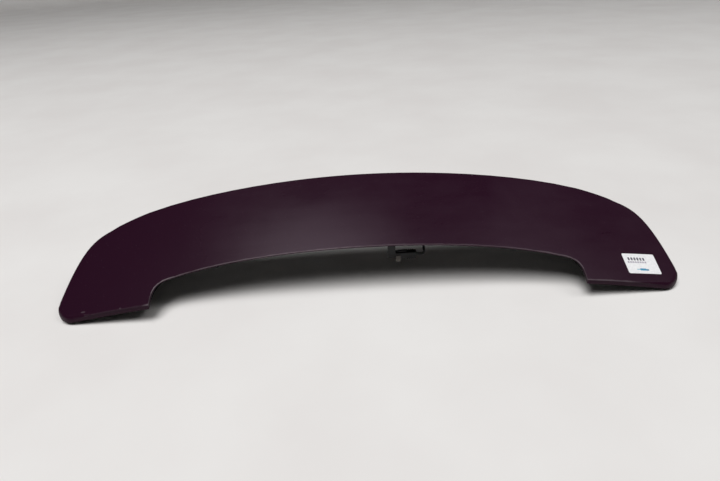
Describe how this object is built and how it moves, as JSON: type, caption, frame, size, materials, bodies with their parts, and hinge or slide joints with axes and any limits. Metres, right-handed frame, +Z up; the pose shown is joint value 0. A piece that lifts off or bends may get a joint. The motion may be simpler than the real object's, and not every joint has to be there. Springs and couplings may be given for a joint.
{
  "type": "car spoiler",
  "caption": "Painted tailgate spoiler: a crescent panel with two legs beside a cut-out for the rear window, and a stop lamp in its trailing edge.",
  "frame": {"origin": "bottom centre of the overall box, on the floor the spoiler rests on by its side faces' lower edges", "axes": "+X across the car towards the labelled leg, +Y towards the trailing edge (rear of the car), +Z up, square to the mating face"},
  "size_m": [1.064, 0.2098, 0.1627],
  "materials": {
    "black_paint": "semi-gloss black paint, dusty",
    "black_moulding": "fine-grained black moulding",
    "zinc_steel": "bright zinc plate",
    "brass": "turned, bare",
    "nylon": "natural white nylon",
    "foam": "closed-cell foam",
    "soft_rubber": "matt moulded rubber",
    "red_lens": "clear red acrylic",
    "circuit_board": "green solder mask",
    "led_body": "white, satin",
    "lead_sheath": "soft black sheath",
    "paper": "coated label paper"
  },
  "bodies": {
    "root": {"upper_shell": "black_paint", "lower_shell": "black_moulding", "mounting_studs": "zinc_steel", "thread_inserts": "brass", "push_clips": "nylon", "fixing_seals": "foam", "lip_seal": "foam", "rail_seal": "foam", "leg_pads": "foam", "tip_buffers": "soft_rubber", "lamp_housing": "black_moulding", "lamp_lens": "red_lens", "lamp_board": "circuit_board", "lamp_leds": "led_body", "lamp_gasket": "foam", "lamp_plug": "black_moulding", "plug_lock": "nylon", "lamp_lead": "lead_sheath", "lead_grommet": "soft_rubber", "paper_label": "paper"}
  },
  "joints": []
}
